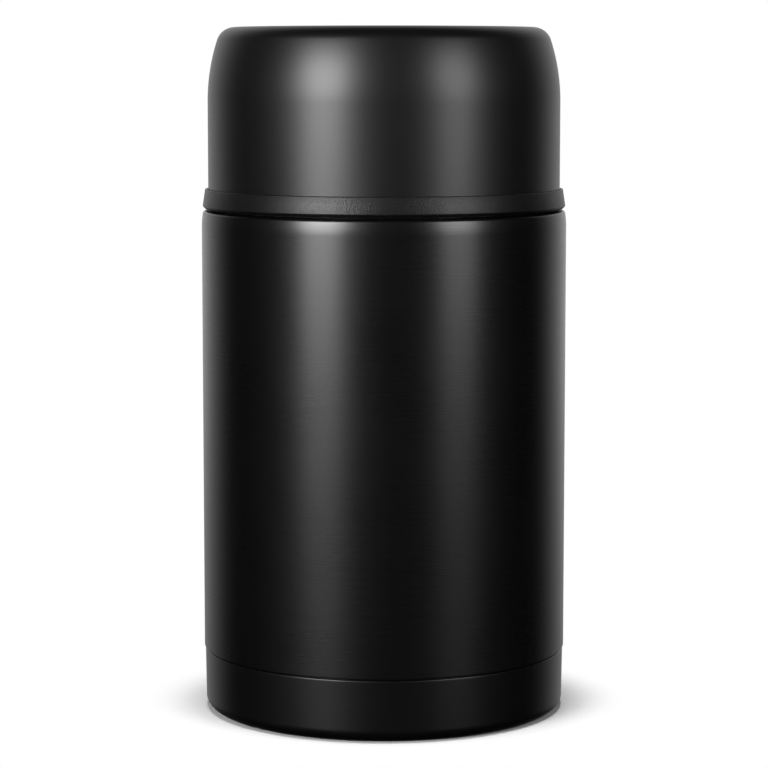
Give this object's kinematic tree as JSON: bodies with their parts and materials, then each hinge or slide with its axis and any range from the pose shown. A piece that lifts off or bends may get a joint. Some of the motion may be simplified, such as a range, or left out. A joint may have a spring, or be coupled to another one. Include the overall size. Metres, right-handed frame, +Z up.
{
  "type": "insulated food jar",
  "caption": "Wide-mouth vacuum food jar with a screw-on steel cup lid over a screw stopper with a vent button.",
  "frame": {"origin": "centre of the ring that the base stands on, on the table", "axes": "+Z up along the jar's axis; the pictured front faces -Y"},
  "size_m": [0.11, 0.11, 0.2062],
  "materials": {
    "black_paint_body": "satin black coating over fine brushed steel",
    "black_paint_base": "satin black coating",
    "black_paint_cup": "satin black coating over fine brushed steel",
    "liner_steel": "bare drawn stainless steel",
    "bowl_steel": "bare drawn stainless steel, turned marks",
    "plate_steel": "bare pressed stainless steel",
    "bead_braze": "dull brazed metal",
    "getter_metal": "dull sintered metal",
    "clip_steel": "bare spring steel",
    "collar_plastic": "fine-grained black moulding",
    "black_silicone": "soft matt black silicone",
    "stopper_plastic": "satin black moulding",
    "stopper_plug_plastic": "satin black moulding",
    "stopper_lid_plastic": "satin black moulding",
    "clear_silicone": "translucent white silicone",
    "button_plastic": "polished black moulding",
    "stem_steel": "turned stainless steel",
    "disc_plastic": "satin black moulding",
    "washer_silicone": "translucent white silicone",
    "spring_steel": "bright spring wire"
  },
  "bodies": {
    "jar": {"outer_shell": "black_paint_body", "base_cup": "black_paint_base", "inner_liner": "liner_steel", "vacuum_plate": "plate_steel", "seal_bead": "bead_braze", "getter": "getter_metal", "getter_clip": "clip_steel"},
    "cup_ring": {"cup_gasket": "black_silicone"},
    "cup": {"cup_shell": "black_paint_cup", "cup_bowl": "bowl_steel", "cup_collar": "collar_plastic"},
    "stopper_ring": {"stopper_seal": "clear_silicone"},
    "stopper": {"stopper_body": "stopper_plastic", "stopper_plug": "stopper_plug_plastic", "stopper_lid": "stopper_lid_plastic", "valve_spring": "spring_steel"},
    "valve": {"valve_button": "button_plastic", "valve_stem": "stem_steel", "valve_disc": "disc_plastic", "valve_washer": "washer_silicone"}
  },
  "joints": [
    {"name": "cup_rise", "type": "slide", "parent": "jar", "child": "cup_ring", "axis": [0, 0, 1], "range_m": [0, 0.0271]},
    {"name": "cup_turn", "type": "hinge", "parent": "cup_ring", "child": "cup", "pos_m": [0, 0, 0.152], "axis": [0, 0, 1], "range_deg": [0, 810]},
    {"name": "stopper_rise", "type": "slide", "parent": "jar", "child": "stopper_ring", "axis": [0, 0, 1], "range_m": [0, 0.0231]},
    {"name": "stopper_turn", "type": "hinge", "parent": "stopper_ring", "child": "stopper", "pos_m": [0, 0, 0.168], "axis": [0, 0, 1], "range_deg": [0, 690]},
    {"name": "valve_press", "type": "slide", "parent": "stopper", "child": "valve", "axis": [0, 0, 1], "range_m": [-0.002, 0], "stiffness_N_per_m": 500, "springref_m": 0.002, "deforming": ["valve_spring"]}
  ],
  "couplings": [
    {"joint": "cup_rise", "follows": "cup_turn", "m_per_rad": 0.0019099},
    {"joint": "stopper_rise", "follows": "stopper_turn", "m_per_rad": 0.0019099}
  ]
}
